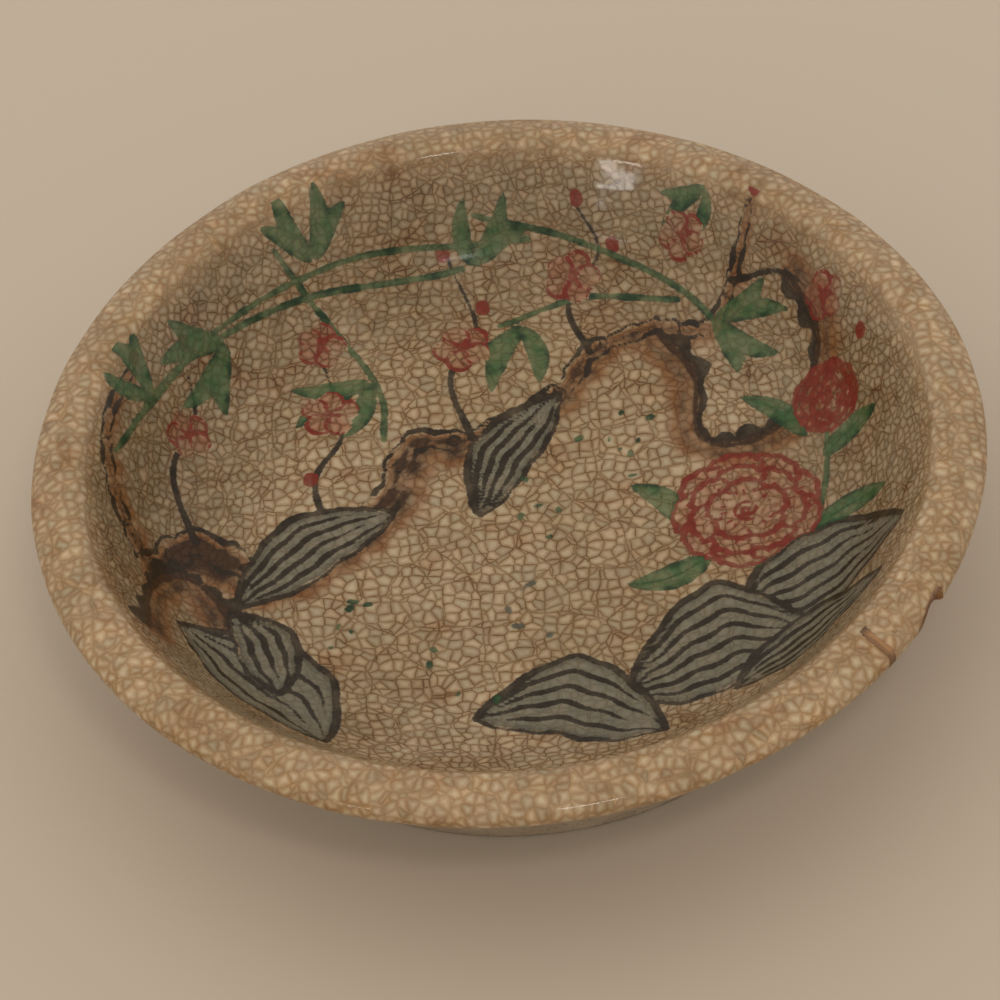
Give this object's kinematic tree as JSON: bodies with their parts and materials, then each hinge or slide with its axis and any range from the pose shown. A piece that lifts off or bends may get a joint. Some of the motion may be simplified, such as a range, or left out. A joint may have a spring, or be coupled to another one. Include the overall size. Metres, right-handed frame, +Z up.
{
  "type": "deep dish",
  "caption": "Round deep dish in crackle-glazed stoneware, with a thick rounded lip, a broad floor, a wide foot ring, and an old break in the lip refitted with a lacquer fill.",
  "frame": {"origin": "on the table plane, in the middle of the foot ring", "axes": "+Z up through the middle of the dish; the mended break lies between +X and -Y"},
  "size_m": [0.2291, 0.2291, 0.056],
  "materials": {
    "glazed_stoneware": "satin",
    "bare_stoneware": "matte",
    "lacquer_fill": "satin"
  },
  "bodies": {
    "root": {"dish_body": "glazed_stoneware", "rim_fragment": "glazed_stoneware", "mend_fill": "lacquer_fill", "foot_ring": "bare_stoneware"}
  },
  "joints": []
}
